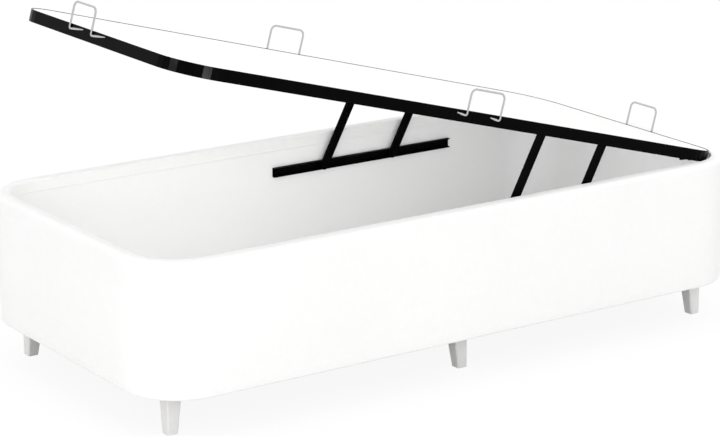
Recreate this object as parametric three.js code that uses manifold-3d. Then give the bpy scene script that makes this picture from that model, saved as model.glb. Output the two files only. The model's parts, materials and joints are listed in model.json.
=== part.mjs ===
// Divan base: a single storage bed base with a lift-up lid, in millimetres, +Z up.
// The head end, where the lid is hinged, is on +X. The foot end, on -X, lifts.
import * as THREE from "three";
import { mergeVertices } from "three/addons/utils/BufferGeometryUtils.js";
import Module from "manifold-3d";

const wasm = await Module();
wasm.setup();

// Clearance between pieces that touch
const fit = 0.3;

// Lid, for a mattress of 188 by 88 cm
const lidLength = 1880;
const lidWidth = 880;
const lidHeight = 33;
const lidGap = 9.6;
const lidProud = 7;
const openAngle = THREE.MathUtils.degToRad(15.5);

// Lid frame: a steel band with a ledge under the board
const bandThickness = 3;
const ledgeWidth = 17;
const ledgeThickness = 2;
const coverDrop = 0.5;
const lidCoverThickness = 1.5;
const lidBoardThickness = 8;

// Lid cross bars: square-cornered tube, placed from the hinge axis towards the foot
const barWidth = 25;
const barHeight = 20;
const barWall = 1.5;
const barFirst = 120;
const barSpacing = 500;
const barCount = 4;

// Shell wall, from the outside in
const coverThickness = 2;
const paddingThickness = 15;
const panelThickness = 18;
const liningThickness = 2;
const outerCornerRadius = 162;
const rimHeight = 482;
const shellBottom = 114;
const bottomRounding = 7;
const rimOuterRadius = 14;
const rimInnerRadius = 5;
const hemWidth = 24;
const rimHemDepth = 34;
const panelTopDrop = 27;
const tongueThickness = 6;
const tongueDepth = 10;

// Legs, with their two outer faces upright
const legHeight = 118;
const legTop = 46;
const legFoot = 31;
const legChamfer = 3;
const legEndInset = 82;
const legSideInset = 90;
const midLegOffset = 31;
const legBoltRadius = 4;
const legBoltLength = 56;
const legBoltInRail = 18;

// Storage floor, carried by cross rails
const clothThickness = 1;
const railThickness = 25;
const legRailWidth = 90;
const plainRailWidth = 60;
const floorThickness = 9;
const floorJoint = 1;
const housingDepth = 6;

// Hinges at the head end
const hingeInset = 14;
const hingeDepth = 20;
const hingeSpread = 500;
const hingePinRadius = 2.5;
const knuckleRadius = 6;
const knuckleLength = 40;
const cheekThickness = 4;
const hingePlateThickness = 3;
const hingePlateWidth = 76;
const hingePlateHeight = 26;
const hingePlateBelowAxis = 36;
const cheekReach = 24;
const neckWidth = 10;
const leafLength = 60;
const leafThickness = 3;
const pinHeadRadius = 5;
const pinHeadHeight = 2;

// Stays: flat arms from the lid to a channel on each side wall
const channelHeight = 28;
const channelDepth = 12;
const channelWall = 2.5;
const channelDrop = 98.5;
const channelFootEnd = -38;
const channelLength = 644;
const stayWidth = 28;
const stayThickness = 5;
const stayGap = 1;
const stayDepth = 28;
const stayPinRadius = 4;
const stayPinHead = 2.5;
const stayPinHeadRadius = 7;
const stayLean = THREE.MathUtils.degToRad(62.1);
const footStayDistance = 675;
const headStayDistance = 450;

// Mattress retainers: bent rods, one in each side of the lid; those at the far side and
// the head end stand higher
const rodRadius = 3;
const loopWidth = 115;
const lowLoopHeight = 60;
const highLoopHeight = 70;
const loopBend = 16;
const footBend = 5;
const footDrop = 13;
const tabThickness = 3;
const tabTip = 2;
const endTabLength = 68;
const endTabRise = 8.5;
const sideTabLength = 32;
const sideTabRise = 5;
const tabOverlap = 3;
const footLoopOffset = 70;
const headLoopOffset = 54;
const nearLoopOffset = 29;
const farLoopOffset = 41;
const rodSteps = 60;

// Rest for the closed lid at the foot end
const ledgeDepth = 26;
const ledgeHeight = 28;
const stripHeight = 5;
const stripWidth = 16;
const stripLength = 500;

// Facets of round pieces
const cornerSteps = 8;
const rimSteps = 5;
const roundSteps = 16;
// An arc in a shape takes two facets for each of its curve segments
const arcSegments = cornerSteps / 2;
const rodArcSegments = 4;
const mergeDistance = 1e-4;

// Places worked out from the sizes above
const wall = coverThickness + paddingThickness + panelThickness + liningThickness + 3 * fit;
const shellInset = wall + lidGap;
const outerLength = lidLength + 2 * shellInset;
const outerWidth = lidWidth + 2 * shellInset;
const lidCornerRadius = outerCornerRadius - shellInset;
const panelOut = coverThickness + paddingThickness + 2 * fit;
const panelIn = panelOut + panelThickness;
const liningOut = panelIn + fit;
const panelBottom = shellBottom + coverThickness + fit;
const panelTop = rimHeight - panelTopDrop;
const clothBottom = legHeight + fit;
const railBottom = clothBottom + clothThickness + fit;
const floorBottom = railBottom + railThickness + fit;
const floorTop = floorBottom + floorThickness;
const channelLevel = rimHeight - channelDrop;
const lidTop = rimHeight + lidProud;
const lidBottom = lidTop - lidHeight;
const hingeX = lidLength / 2 - hingeInset;
const hingeZ = lidTop - hingeDepth;
const innerX = outerLength / 2 - wall;
const innerY = outerWidth / 2 - wall;
const boardInset = bandThickness + fit;
const lidLocalTop = hingeDepth;
const lidCoverTop = lidLocalTop - coverDrop;
const lidBoardTop = lidCoverTop - lidCoverThickness - fit;
const ledgeTop = lidBoardTop - lidBoardThickness - fit;
const barTop = ledgeTop - ledgeThickness - fit;
const stayPinLevel = lidLocalTop - stayDepth;
const stays = [
  { name: "foot", fromHinge: footStayDistance, length: stayLength(footStayDistance) },
  { name: "head", fromHinge: headStayDistance, length: stayLength(headStayDistance) },
];

// Materials, in the colours of the photograph
const finishes = {
  upholstery: { color: 0xf6f6f5, roughness: 0.75, metalness: 0 },
  foam: { color: 0xe9e2c8, roughness: 0.95, metalness: 0 },
  lining: { color: 0xe8e8e8, roughness: 0.6, metalness: 0 },
  plywood: { color: 0xc9a878, roughness: 0.7, metalness: 0 },
  cloth: { color: 0x2a2a2c, roughness: 0.95, metalness: 0 },
  leg: { color: 0xe4e4e2, roughness: 0.5, metalness: 0 },
  steel: { color: 0xb9bbbd, roughness: 0.35, metalness: 1 },
  blackSteel: { color: 0x080808, roughness: 0.3, metalness: 0.2 },
  chrome: { color: 0xdadcde, roughness: 0.15, metalness: 1 },
  rubber: { color: 0x1b1b1b, roughness: 0.8, metalness: 0 },
};

const base = new THREE.Group();
const lid = new THREE.Group();
lid.position.set(hingeX, 0, hingeZ);
lid.rotation.y = openAngle;
base.add(lid);

function addPiece(parent, name, geometry, finish) {
  const mesh = new THREE.Mesh(geometry, new THREE.MeshStandardMaterial(finishes[finish]));
  mesh.name = name;
  parent.add(mesh);
  return mesh;
}

// Solid helpers

function bare(geometry) {
  const copy = geometry.clone();
  copy.deleteAttribute("normal");
  copy.deleteAttribute("uv");
  return mergeVertices(copy, mergeDistance);
}

function toManifold(geometry) {
  const merged = bare(geometry);
  const vertProperties = Float32Array.from(merged.attributes.position.array);
  const triVerts = Uint32Array.from(merged.index.array);
  return new wasm.Manifold(new wasm.Mesh({ numProp: 3, vertProperties, triVerts }));
}

function fromManifold(solid) {
  const mesh = solid.getMesh();
  const geometry = new THREE.BufferGeometry();
  geometry.setAttribute("position", new THREE.BufferAttribute(mesh.vertProperties, 3));
  geometry.setIndex(new THREE.BufferAttribute(mesh.triVerts, 1));
  return geometry;
}

function join(geometries) {
  let whole = toManifold(geometries[0]);
  for (const geometry of geometries.slice(1)) {
    whole = whole.add(toManifold(geometry));
  }
  return fromManifold(whole);
}

function cut(geometry, tools) {
  let rest = toManifold(geometry);
  for (const tool of tools) {
    rest = rest.subtract(toManifold(tool));
  }
  return fromManifold(rest);
}

// Faces out: the sign of the volume tells which way the triangles turn
function closedSolid(positions, indices) {
  const p = positions;
  let volume = 0;
  for (let i = 0; i < indices.length; i += 3) {
    const [a, b, c] = [indices[i] * 3, indices[i + 1] * 3, indices[i + 2] * 3];
    volume += p[a] * (p[b + 1] * p[c + 2] - p[b + 2] * p[c + 1]);
    volume += p[a + 1] * (p[b + 2] * p[c] - p[b] * p[c + 2]);
    volume += p[a + 2] * (p[b] * p[c + 1] - p[b + 1] * p[c]);
  }
  const order = volume < 0 ? [...indices].reverse() : indices;
  const geometry = new THREE.BufferGeometry();
  geometry.setAttribute("position", new THREE.Float32BufferAttribute(positions, 3));
  geometry.setIndex(order);
  return geometry;
}

// A ring round a rounded rectangle; each section point is [inset, height]
function ring(length, width, radius, section) {
  const positions = [];
  const indices = [];
  for (let quarter = 0; quarter < 4; quarter++) {
    const signX = quarter === 0 || quarter === 3 ? 1 : -1;
    const signY = quarter < 2 ? 1 : -1;
    for (let step = 0; step <= cornerSteps; step++) {
      const angle = (quarter + step / cornerSteps) * Math.PI / 2;
      for (const [inset, height] of section) {
        const reach = radius - inset;
        const x = signX * (length / 2 - radius) + reach * Math.cos(angle);
        const y = signY * (width / 2 - radius) + reach * Math.sin(angle);
        positions.push(x, y, height);
      }
    }
  }
  const stations = 4 * (cornerSteps + 1);
  const count = section.length;
  for (let station = 0; station < stations; station++) {
    const next = (station + 1) % stations;
    for (let k = 0; k < count; k++) {
      const after = (k + 1) % count;
      const a = station * count + k;
      const b = next * count + k;
      const c = next * count + after;
      const d = station * count + after;
      indices.push(a, b, c, a, c, d);
    }
  }
  return closedSolid(positions, indices);
}

// A flat plate with rounded corners, between two heights
function roundedPlate(length, width, radius, bottom, top) {
  const shape = new THREE.Shape();
  const [x, y] = [length / 2 - radius, width / 2 - radius];
  shape.absarc(x, y, radius, 0, Math.PI / 2);
  shape.absarc(-x, y, radius, Math.PI / 2, Math.PI);
  shape.absarc(-x, -y, radius, Math.PI, 1.5 * Math.PI);
  shape.absarc(x, -y, radius, 1.5 * Math.PI, 2 * Math.PI);
  const options = { depth: top - bottom, bevelEnabled: false, curveSegments: arcSegments };
  return new THREE.ExtrudeGeometry(shape, options).translate(0, 0, bottom);
}

function box(x0, x1, y0, y1, z0, z1) {
  const geometry = new THREE.BoxGeometry(x1 - x0, y1 - y0, z1 - z0);
  return geometry.translate((x0 + x1) / 2, (y0 + y1) / 2, (z0 + z1) / 2);
}

function upright(radius, x, y, z0, z1) {
  const geometry = new THREE.CylinderGeometry(radius, radius, z1 - z0, roundSteps);
  return geometry.rotateX(Math.PI / 2).translate(x, y, (z0 + z1) / 2);
}

function crosswise(radius, x, z, y0, y1) {
  const geometry = new THREE.CylinderGeometry(radius, radius, Math.abs(y1 - y0), roundSteps);
  return geometry.translate(x, (y0 + y1) / 2, z);
}

// A profile drawn in X and Z, given a width along Y
function sideProfile(shape, y0, y1) {
  const options = { depth: y1 - y0, bevelEnabled: false, curveSegments: cornerSteps };
  return new THREE.ExtrudeGeometry(shape, options).rotateX(Math.PI / 2).translate(0, y1, 0);
}

// Places shared by several pieces

const railXs = crossRailPlaces();

function crossRailPlaces() {
  const end = outerLength / 2 - legEndInset - legTop / 2;
  const middle = midLegOffset;
  return [
    { x: -end, width: legRailWidth },
    { x: (middle - end) / 2, width: plainRailWidth },
    { x: middle, width: legRailWidth },
    { x: (middle + end) / 2, width: plainRailWidth },
    { x: end, width: legRailWidth },
  ];
}

function legPlaces() {
  const places = [];
  const endX = outerLength / 2 - legEndInset;
  const midX = midLegOffset + legTop / 2;
  const cornerY = outerWidth / 2 - legSideInset;
  for (const side of [-1, 1]) {
    const sideName = side < 0 ? "near" : "far";
    places.push({ name: `foot_${sideName}`, x: -endX, y: side * cornerY, outX: -1, outY: side });
    places.push({ name: `middle_${sideName}`, x: midX, y: side * cornerY, outX: 1, outY: side });
    places.push({ name: `head_${sideName}`, x: endX, y: side * cornerY, outX: 1, outY: side });
  }
  return places;
}

function legBolt(leg, radius, extra) {
  const top = railBottom + legBoltInRail + extra;
  const bottom = railBottom + legBoltInRail - legBoltLength - extra;
  const x = leg.x - leg.outX * legTop / 2;
  const y = leg.y - leg.outY * legTop / 2;
  return upright(radius, x, y, bottom, top);
}

function legBoltHoles() {
  return legPlaces().map((leg) => legBolt(leg, legBoltRadius + fit, fit));
}

// Shell panels: four straight ones, tongued at both ends, and four grooved bent corners

function tongueInsets(extra) {
  const middle = (panelOut + panelIn) / 2;
  return [middle - tongueThickness / 2 - extra, middle + tongueThickness / 2 + extra];
}

// Plan of a straight panel along X, with its outer face on +Y
function straightPanel(run) {
  const half = run / 2 - fit / 2;
  const tip = half + tongueDepth;
  const [outer, inner] = tongueInsets(0);
  const outline = [
    [half, panelOut], [half, outer], [tip, outer], [tip, inner], [half, inner], [half, panelIn],
    [-half, panelIn], [-half, inner], [-tip, inner], [-tip, outer], [-half, outer], [-half, panelOut],
  ];
  return panelFromPlan(new THREE.Shape(outline.map(([x, inset]) => new THREE.Vector2(x, -inset))));
}

function panelFromPlan(shape) {
  const options = { depth: panelTop - panelBottom, bevelEnabled: false, curveSegments: arcSegments };
  return new THREE.ExtrudeGeometry(shape, options).translate(0, 0, panelBottom);
}

// Bent panel of a quarter turn, about its own centre, with a groove in each end
function bentPanel() {
  const shape = new THREE.Shape();
  shape.absarc(0, 0, outerCornerRadius - panelOut, 0, Math.PI / 2);
  shape.absarc(0, 0, outerCornerRadius - panelIn, Math.PI / 2, 0, true);
  const [outer, inner] = tongueInsets(fit).map((inset) => outerCornerRadius - inset);
  const deep = tongueDepth + 2 * fit;
  const past = outerCornerRadius;
  const height = [panelBottom - fit, panelTop + fit];
  const grooves = [
    box(0, past, -past, fit / 2, ...height),
    box(-past, fit / 2, 0, past, ...height),
    box(inner, outer, -past, deep, ...height),
    box(-past, deep, inner, outer, ...height),
  ];
  return cut(panelFromPlan(shape), grooves);
}

// Housings in the inner face of a side panel, which hold the ends of the middle cross rails
function railHousings(side) {
  const face = side * (outerWidth / 2 - panelIn);
  const deep = face + side * (housingDepth + fit);
  const past = face - side * panelThickness;
  const [y0, y1] = [Math.min(deep, past), Math.max(deep, past)];
  const top = railBottom + railThickness + fit;
  const housing = ({ x, width }) =>
    box(x - width / 2 - fit, x + width / 2 + fit, y0, y1, panelBottom - fit, top);
  return railXs.slice(1, -1).map(housing);
}

function addPanels() {
  const straightX = outerLength - 2 * outerCornerRadius;
  const straightY = outerWidth - 2 * outerCornerRadius;
  for (const side of [-1, 1]) {
    const panel = straightPanel(straightX).translate(0, outerWidth / 2, 0);
    if (side < 0) {
      panel.rotateZ(Math.PI);
    }
    const name = side < 0 ? "side_panel_near" : "side_panel_far";
    addPiece(base, name, cut(panel, railHousings(side)), "plywood");
  }
  const headPanel = straightPanel(straightY).translate(0, outerLength / 2, 0);
  addPiece(base, "end_panel_head", headPanel.rotateZ(-Math.PI / 2), "plywood");
  const footPanel = straightPanel(straightY).translate(0, outerLength / 2, 0);
  addPiece(base, "end_panel_foot", footPanel.rotateZ(Math.PI / 2), "plywood");
  const corners = ["head_far", "foot_far", "foot_near", "head_near"];
  corners.forEach((name, quarter) => {
    const piece = bentPanel().rotateZ(quarter * Math.PI / 2);
    const signX = quarter === 0 || quarter === 3 ? 1 : -1;
    const signY = quarter < 2 ? 1 : -1;
    piece.translate(signX * straightX / 2, signY * straightY / 2, 0);
    addPiece(base, `corner_panel_${name}`, piece, "plywood");
  });
}

// Upholstery: a foam ring, a cover with a rolled rim, and a lining inside

// The rounded top of the wall, at this depth under its surface, from the outside to the inside
function rimOutline(depth) {
  const outer = rimOuterRadius - depth;
  const inner = Math.max(rimInnerRadius - depth, fit);
  const points = [];
  for (let step = 0; step <= rimSteps; step++) {
    const angle = step / rimSteps * Math.PI / 2;
    const [inset, drop] = [1 - Math.cos(angle), 1 - Math.sin(angle)];
    points.push([depth + outer * inset, rimHeight - depth - outer * drop]);
  }
  for (let step = rimSteps; step >= 0; step--) {
    const angle = step / rimSteps * Math.PI / 2;
    const [inset, drop] = [1 - Math.cos(angle), 1 - Math.sin(angle)];
    points.push([wall - depth - inner * inset, rimHeight - depth - inner * drop]);
  }
  return points;
}

function coverSection() {
  const arcMiddle = bottomRounding * (1 - Math.SQRT1_2);
  const outer = [
    [hemWidth, shellBottom],
    [bottomRounding, shellBottom],
    [arcMiddle, shellBottom + arcMiddle],
    [0, shellBottom + bottomRounding],
    ...rimOutline(0),
    [wall, rimHeight - rimHemDepth],
  ];
  const inner = [
    [wall - coverThickness, rimHeight - rimHemDepth],
    ...rimOutline(coverThickness).reverse(),
    [coverThickness, shellBottom + bottomRounding],
    [bottomRounding, shellBottom + coverThickness],
    [hemWidth, shellBottom + coverThickness],
  ];
  return [...outer, ...inner];
}

function paddingSection() {
  const outside = coverThickness + fit;
  const inside = outside + paddingThickness;
  return [
    [outside, shellBottom + bottomRounding + fit],
    ...rimOutline(outside),
    [wall - outside, panelTop + fit],
    [inside, panelTop + fit],
    [inside, panelBottom],
    [bottomRounding + fit, panelBottom],
  ];
}

function addUpholstery() {
  const padding = ring(outerLength, outerWidth, outerCornerRadius, paddingSection());
  addPiece(base, "foam_padding", padding, "foam");
  const cover = ring(outerLength, outerWidth, outerCornerRadius, coverSection());
  addPiece(base, "upholstery_cover", cover, "upholstery");
  const top = rimHeight - rimHemDepth - fit;
  const section = [[liningOut, floorBottom], [liningOut, top], [wall, top], [wall, floorBottom]];
  const lining = ring(outerLength, outerWidth, outerCornerRadius, section);
  addPiece(base, "inner_lining", lining, "lining");
}

// Storage floor: cross rails, two boards that drop in inside the lining, and a cloth underneath

// A plate that fills the shell, with its edge this far in from the shell's outside
function fittedPlate(inset, bottom, top) {
  const [length, width] = [outerLength - 2 * inset, outerWidth - 2 * inset];
  return roundedPlate(length, width, outerCornerRadius - inset, bottom, top);
}

function addFloor() {
  const inset = panelIn + fit;
  const holes = legBoltHoles();
  const outline = toManifold(fittedPlate(inset, railBottom, railBottom + railThickness));
  railXs.forEach((rail, index) => {
    const atEnd = index === 0 || index === railXs.length - 1;
    const reach = outerWidth / 2 - inset + (atEnd ? 0 : fit + housingDepth);
    const [x0, x1] = [rail.x - rail.width / 2, rail.x + rail.width / 2];
    const blank = box(x0, x1, -reach, reach, railBottom, railBottom + railThickness);
    const shaped = atEnd ? fromManifold(toManifold(blank).intersect(outline)) : blank;
    addPiece(base, `cross_rail_${index + 1}`, cut(shaped, holes), "plywood");
  });
  const whole = fittedPlate(wall + fit, floorBottom, floorTop);
  const [half, past] = [outerWidth / 2, outerLength / 2];
  const waste = (from, to) => box(from, to, -half, half, floorBottom - fit, floorTop + fit);
  const split = railXs[2].x;
  const footBoard = cut(whole, [waste(split - floorJoint / 2, past)]);
  const headBoard = cut(whole, [waste(-past, split + floorJoint / 2)]);
  addPiece(base, "floor_board_foot", footBoard, "plywood");
  addPiece(base, "floor_board_head", headBoard, "plywood");
  const cloth = fittedPlate(inset, clothBottom, clothBottom + clothThickness);
  addPiece(base, "bottom_cloth", cut(cloth, holes), "cloth");
}

// Legs: tapered on the two inner faces, with small chamfers

function legOutline(size) {
  const c = legChamfer;
  const d = size - c;
  return [[c, 0], [d, 0], [size, c], [size, d], [d, size], [c, size], [0, d], [0, c]];
}

function addLegs() {
  const holes = legBoltHoles();
  legPlaces().forEach((leg) => {
    const positions = [];
    const indices = [];
    for (const [size, height] of [[legFoot, 0], [legTop, legHeight]]) {
      for (const [x, y] of legOutline(size)) {
        positions.push(leg.x - leg.outX * x, leg.y - leg.outY * y, height);
      }
    }
    const sides = legOutline(legTop).length;
    for (let k = 0; k < sides; k++) {
      const next = (k + 1) % sides;
      indices.push(k, next, sides + next, k, sides + next, sides + k);
    }
    for (let k = 1; k < sides - 1; k++) {
      indices.push(0, k + 1, k, sides, sides + k, sides + k + 1);
    }
    addPiece(base, `leg_${leg.name}`, cut(closedSolid(positions, indices), holes), "leg");
    addPiece(base, `leg_bolt_${leg.name}`, legBolt(leg, legBoltRadius, 0), "steel");
  });
}

// Channels on the side walls, which the feet of the stays run along

function addChannels() {
  for (const side of [-1, 1]) {
    const back = side * (innerY - fit);
    const front = back - side * channelDepth;
    const slotBack = back - side * channelWall;
    const slotFront = front - side * channelWall;
    const [x0, x1] = [channelFootEnd, channelFootEnd + channelLength];
    const [z0, z1] = [channelLevel - channelHeight / 2, channelLevel + channelHeight / 2];
    const bar = box(x0, x1, Math.min(back, front), Math.max(back, front), z0, z1);
    const slotY = [Math.min(slotBack, slotFront), Math.max(slotBack, slotFront)];
    const slot = box(x0 - fit, x1 + fit, ...slotY, z0 + channelWall, z1 - channelWall);
    const name = side < 0 ? "stay_channel_near" : "stay_channel_far";
    addPiece(base, name, cut(bar, [slot]), "blackSteel");
  }
}

// Hinges: a wall bracket with two goose-neck cheeks, a leaf under the lid and a pin

function addHingeBrackets() {
  const face = innerX - fit;
  const plateBottom = hingeZ - hingePlateBelowAxis;
  const neckTop = hingeZ - cheekReach;
  const neckLeft = hingeX - neckWidth / 2;
  const neckRight = hingeX + neckWidth / 2;
  const cheek = new THREE.Shape();
  cheek.moveTo(face - hingePlateThickness / 2, plateBottom);
  cheek.lineTo(face - hingePlateThickness / 2, neckTop);
  cheek.lineTo(neckRight, neckTop);
  cheek.lineTo(neckRight, hingeZ);
  cheek.absarc(hingeX, hingeZ, neckWidth / 2, 0, Math.PI);
  cheek.lineTo(neckLeft, neckTop - neckWidth);
  for (const side of [-1, 1]) {
    const y = side * hingeSpread / 2;
    const [y0, y1] = [y - hingePlateWidth / 2, y + hingePlateWidth / 2];
    const plateTop = plateBottom + hingePlateHeight;
    const plate = box(face - hingePlateThickness, face, y0, y1, plateBottom, plateTop);
    const inner = knuckleLength / 2 + fit;
    const cheeks = [
      sideProfile(cheek, y + inner, y + inner + cheekThickness),
      sideProfile(cheek, y - inner - cheekThickness, y - inner),
    ];
    const bore = crosswise(hingePinRadius + fit, hingeX, hingeZ, y0, y1);
    const bracket = cut(join([plate, ...cheeks]), [bore]);
    addPiece(base, side < 0 ? "hinge_bracket_near" : "hinge_bracket_far", bracket, "blackSteel");
  }
}

function addHingePins() {
  const half = knuckleLength / 2 + fit + cheekThickness + fit;
  for (const side of [-1, 1]) {
    const y = side * hingeSpread / 2;
    const shank = crosswise(hingePinRadius, hingeX, hingeZ, y - half, y + half);
    const heads = [
      crosswise(pinHeadRadius, hingeX, hingeZ, y - half, y - half - pinHeadHeight),
      crosswise(pinHeadRadius, hingeX, hingeZ, y + half, y + half + pinHeadHeight),
    ];
    const name = side < 0 ? "hinge_pin_near" : "hinge_pin_far";
    addPiece(base, name, join([shank, ...heads]), "steel");
  }
}

function addHingeLeaves() {
  const plateEnd = hingeInset - bandThickness - ledgeWidth - fit;
  const plateBottom = ledgeTop - leafThickness;
  const leaf = new THREE.Shape();
  leaf.moveTo(plateEnd - leafLength, ledgeTop);
  leaf.lineTo(plateEnd - leafLength, plateBottom);
  leaf.lineTo(plateEnd - leafThickness, plateBottom);
  leaf.absarc(0, 0, knuckleRadius, Math.PI, Math.PI / 2);
  leaf.lineTo(plateEnd, knuckleRadius);
  leaf.lineTo(plateEnd, ledgeTop);
  const bore = new THREE.Path();
  bore.absarc(0, 0, hingePinRadius + fit, 0, 2 * Math.PI);
  leaf.holes.push(bore);
  for (const side of [-1, 1]) {
    const y = side * hingeSpread / 2;
    const body = sideProfile(leaf, y - knuckleLength / 2, y + knuckleLength / 2);
    addPiece(lid, side < 0 ? "hinge_leaf_near" : "hinge_leaf_far", body, "blackSteel");
  }
}

// Foot-end rest for the closed lid, with a rubber strip on it

function addFootRest() {
  const run = outerWidth / 2 - outerCornerRadius;
  const top = lidBottom - stripHeight - 2 * fit;
  const x0 = -innerX + fit;
  addPiece(base, "foot_rest", box(x0, x0 + ledgeDepth, -run, run, top - ledgeHeight, top), "plywood");
  const middle = x0 + ledgeDepth / 2;
  const strip = box(middle - stripWidth / 2, middle + stripWidth / 2, -stripLength / 2, stripLength / 2,
    top + fit, top + fit + stripHeight);
  addPiece(base, "rest_strip", strip, "rubber");
}

// Lid: band and ledge, board, white cover and cross bars; heights from the hinge axis

function addLidFrame() {
  const bottom = lidLocalTop - lidHeight;
  const section = [
    [0, bottom],
    [0, lidLocalTop],
    [bandThickness, lidLocalTop],
    [bandThickness, ledgeTop],
    [bandThickness + ledgeWidth, ledgeTop],
    [bandThickness + ledgeWidth, ledgeTop - ledgeThickness],
    [bandThickness, ledgeTop - ledgeThickness],
    [bandThickness, bottom],
  ];
  const frame = ring(lidLength, lidWidth, lidCornerRadius, section);
  const centred = frame.translate(hingeInset - lidLength / 2, 0, 0);
  addPiece(lid, "lid_frame", cut(centred, stayPinHoles()), "blackSteel");
}

function lidPlate(bottom, top) {
  const length = lidLength - 2 * boardInset;
  const width = lidWidth - 2 * boardInset;
  const plate = roundedPlate(length, width, lidCornerRadius - boardInset, bottom, top);
  return plate.translate(hingeInset - lidLength / 2, 0, 0);
}

function barPlaces() {
  return Array.from({ length: barCount }, (unused, index) => -(barFirst + index * barSpacing));
}

function addLidBoards() {
  addPiece(lid, "lid_board", lidPlate(lidBoardTop - lidBoardThickness, lidBoardTop), "plywood");
  addPiece(lid, "lid_cover", lidPlate(lidBoardTop + fit, lidCoverTop), "upholstery");
}

function addLidBars() {
  const half = lidWidth / 2 - bandThickness - fit;
  barPlaces().forEach((x, index) => {
    const [x0, x1] = [x - barWidth / 2, x + barWidth / 2];
    const [z0, z1] = [barTop - barHeight, barTop];
    const bar = box(x0, x1, -half, half, z0, z1);
    const bore = box(x0 + barWall, x1 - barWall, -half - fit, half + fit, z0 + barWall, z1 - barWall);
    addPiece(lid, `lid_bar_${index + 1}`, cut(bar, [bore]), "blackSteel");
  });
}

// Stays: four flat arms, pinned inside the band, with their feet in front of the channels

function stayFace() {
  return innerY - fit - channelDepth - stayGap;
}

function stayPinShank(side, stay, radius, extra) {
  const outer = side * (lidWidth / 2 - bandThickness / 2 + extra);
  const inner = side * (stayFace() - stayThickness - fit);
  return crosswise(radius, -stay.fromHinge, stayPinLevel, outer, inner);
}

function stayPinHoles() {
  return [-1, 1].flatMap((side) => stays.map((stay) => stayPinShank(side, stay, stayPinRadius + fit, fit)));
}

function addStayPins() {
  for (const side of [-1, 1]) {
    for (const stay of stays) {
      const seat = side * (stayFace() - stayThickness - fit);
      const headEnd = seat - side * stayPinHead;
      const head = crosswise(stayPinHeadRadius, -stay.fromHinge, stayPinLevel, seat, headEnd);
      const name = `stay_pin_${stay.name}_${side < 0 ? "near" : "far"}`;
      const shank = stayPinShank(side, stay, stayPinRadius, 0);
      addPiece(lid, name, join([shank, head]), "blackSteel");
    }
  }
}

// From the pin in the open lid down to the channel's line, at the stays' lean
function stayLength(fromHinge) {
  const pinRise = fromHinge * Math.sin(openAngle) + stayPinLevel * Math.cos(openAngle);
  return (hingeZ + pinRise - channelLevel) / Math.sin(stayLean);
}

function addStays() {
  for (const side of [-1, 1]) {
    for (const stay of stays) {
      const sideName = side < 0 ? "near" : "far";
      const pivot = new THREE.Group();
      pivot.position.set(-stay.fromHinge, 0, stayPinLevel);
      pivot.rotation.y = -stayLean - openAngle;
      lid.add(pivot);
      const half = stayWidth / 2;
      const outline = new THREE.Shape();
      outline.absarc(0, 0, half, -Math.PI / 2, Math.PI / 2);
      outline.absarc(-stay.length, 0, half, Math.PI / 2, 1.5 * Math.PI);
      const bore = new THREE.Path();
      bore.absarc(0, 0, stayPinRadius + fit, 0, 2 * Math.PI);
      outline.holes.push(bore);
      const outer = side * stayFace();
      const inner = side * (stayFace() - stayThickness);
      const bar = sideProfile(outline, Math.min(outer, inner), Math.max(outer, inner));
      const studY = [inner + side * stayThickness / 2, inner - side * stayPinHead];
      const stud = crosswise(stayPinHeadRadius, -stay.length, 0, ...studY);
      addPiece(pivot, `stay_${stay.name}_${sideName}`, join([bar, stud]), "blackSteel");
    }
  }
}

// Retainers: a bent rod whose ends turn along the band as flattened, tapering tabs

function roundedPath(corners, bend) {
  const path = new THREE.CurvePath();
  let from = corners[0];
  for (let k = 1; k < corners.length - 1; k++) {
    const radius = bend[k - 1];
    const corner = corners[k];
    const before = new THREE.Vector3().subVectors(corner, corners[k - 1]).normalize();
    const after = new THREE.Vector3().subVectors(corners[k + 1], corner).normalize();
    const start = corner.clone().addScaledVector(before, -radius);
    const end = corner.clone().addScaledVector(after, radius);
    path.add(new THREE.LineCurve3(from, start));
    path.add(new THREE.QuadraticBezierCurve3(start, corner, end));
    from = end;
  }
  path.add(new THREE.LineCurve3(from, corners[corners.length - 1]));
  return path;
}

// Drawn in X and Z with the band's face at Y = 0 and the lid's top at Z = 0; feet run to -X
function retainerGeometry(height, tabLength, tabRise) {
  const y = -rodRadius - fit;
  const [left, right] = [-loopWidth / 2, loopWidth / 2];
  const foot = -footDrop;
  const footReach = footBend + tabOverlap;
  const corners = [
    [left - footReach, foot],
    [left, foot],
    [left, height],
    [right, height],
    [right, foot],
    [right - footReach, foot],
  ].map(([x, z]) => new THREE.Vector3(x, y, z));
  const path = roundedPath(corners, [footBend, loopBend, loopBend, footBend]);
  const circle = new THREE.Shape();
  circle.absarc(0, 0, rodRadius, 0, 2 * Math.PI);
  const options = { steps: rodSteps, bevelEnabled: false, curveSegments: rodArcSegments, extrudePath: path };
  const rod = new THREE.ExtrudeGeometry(circle, options);
  const tabs = [left, right].map((x) => {
    const tab = new THREE.Shape();
    tab.moveTo(x - footBend, foot - rodRadius);
    tab.lineTo(x - footBend, foot + rodRadius);
    tab.lineTo(x - tabLength, foot + tabRise);
    tab.lineTo(x - tabLength, foot + tabRise - tabTip);
    return sideProfile(tab, -fit - tabThickness, -fit);
  });
  return join([rod, ...tabs]);
}

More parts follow.
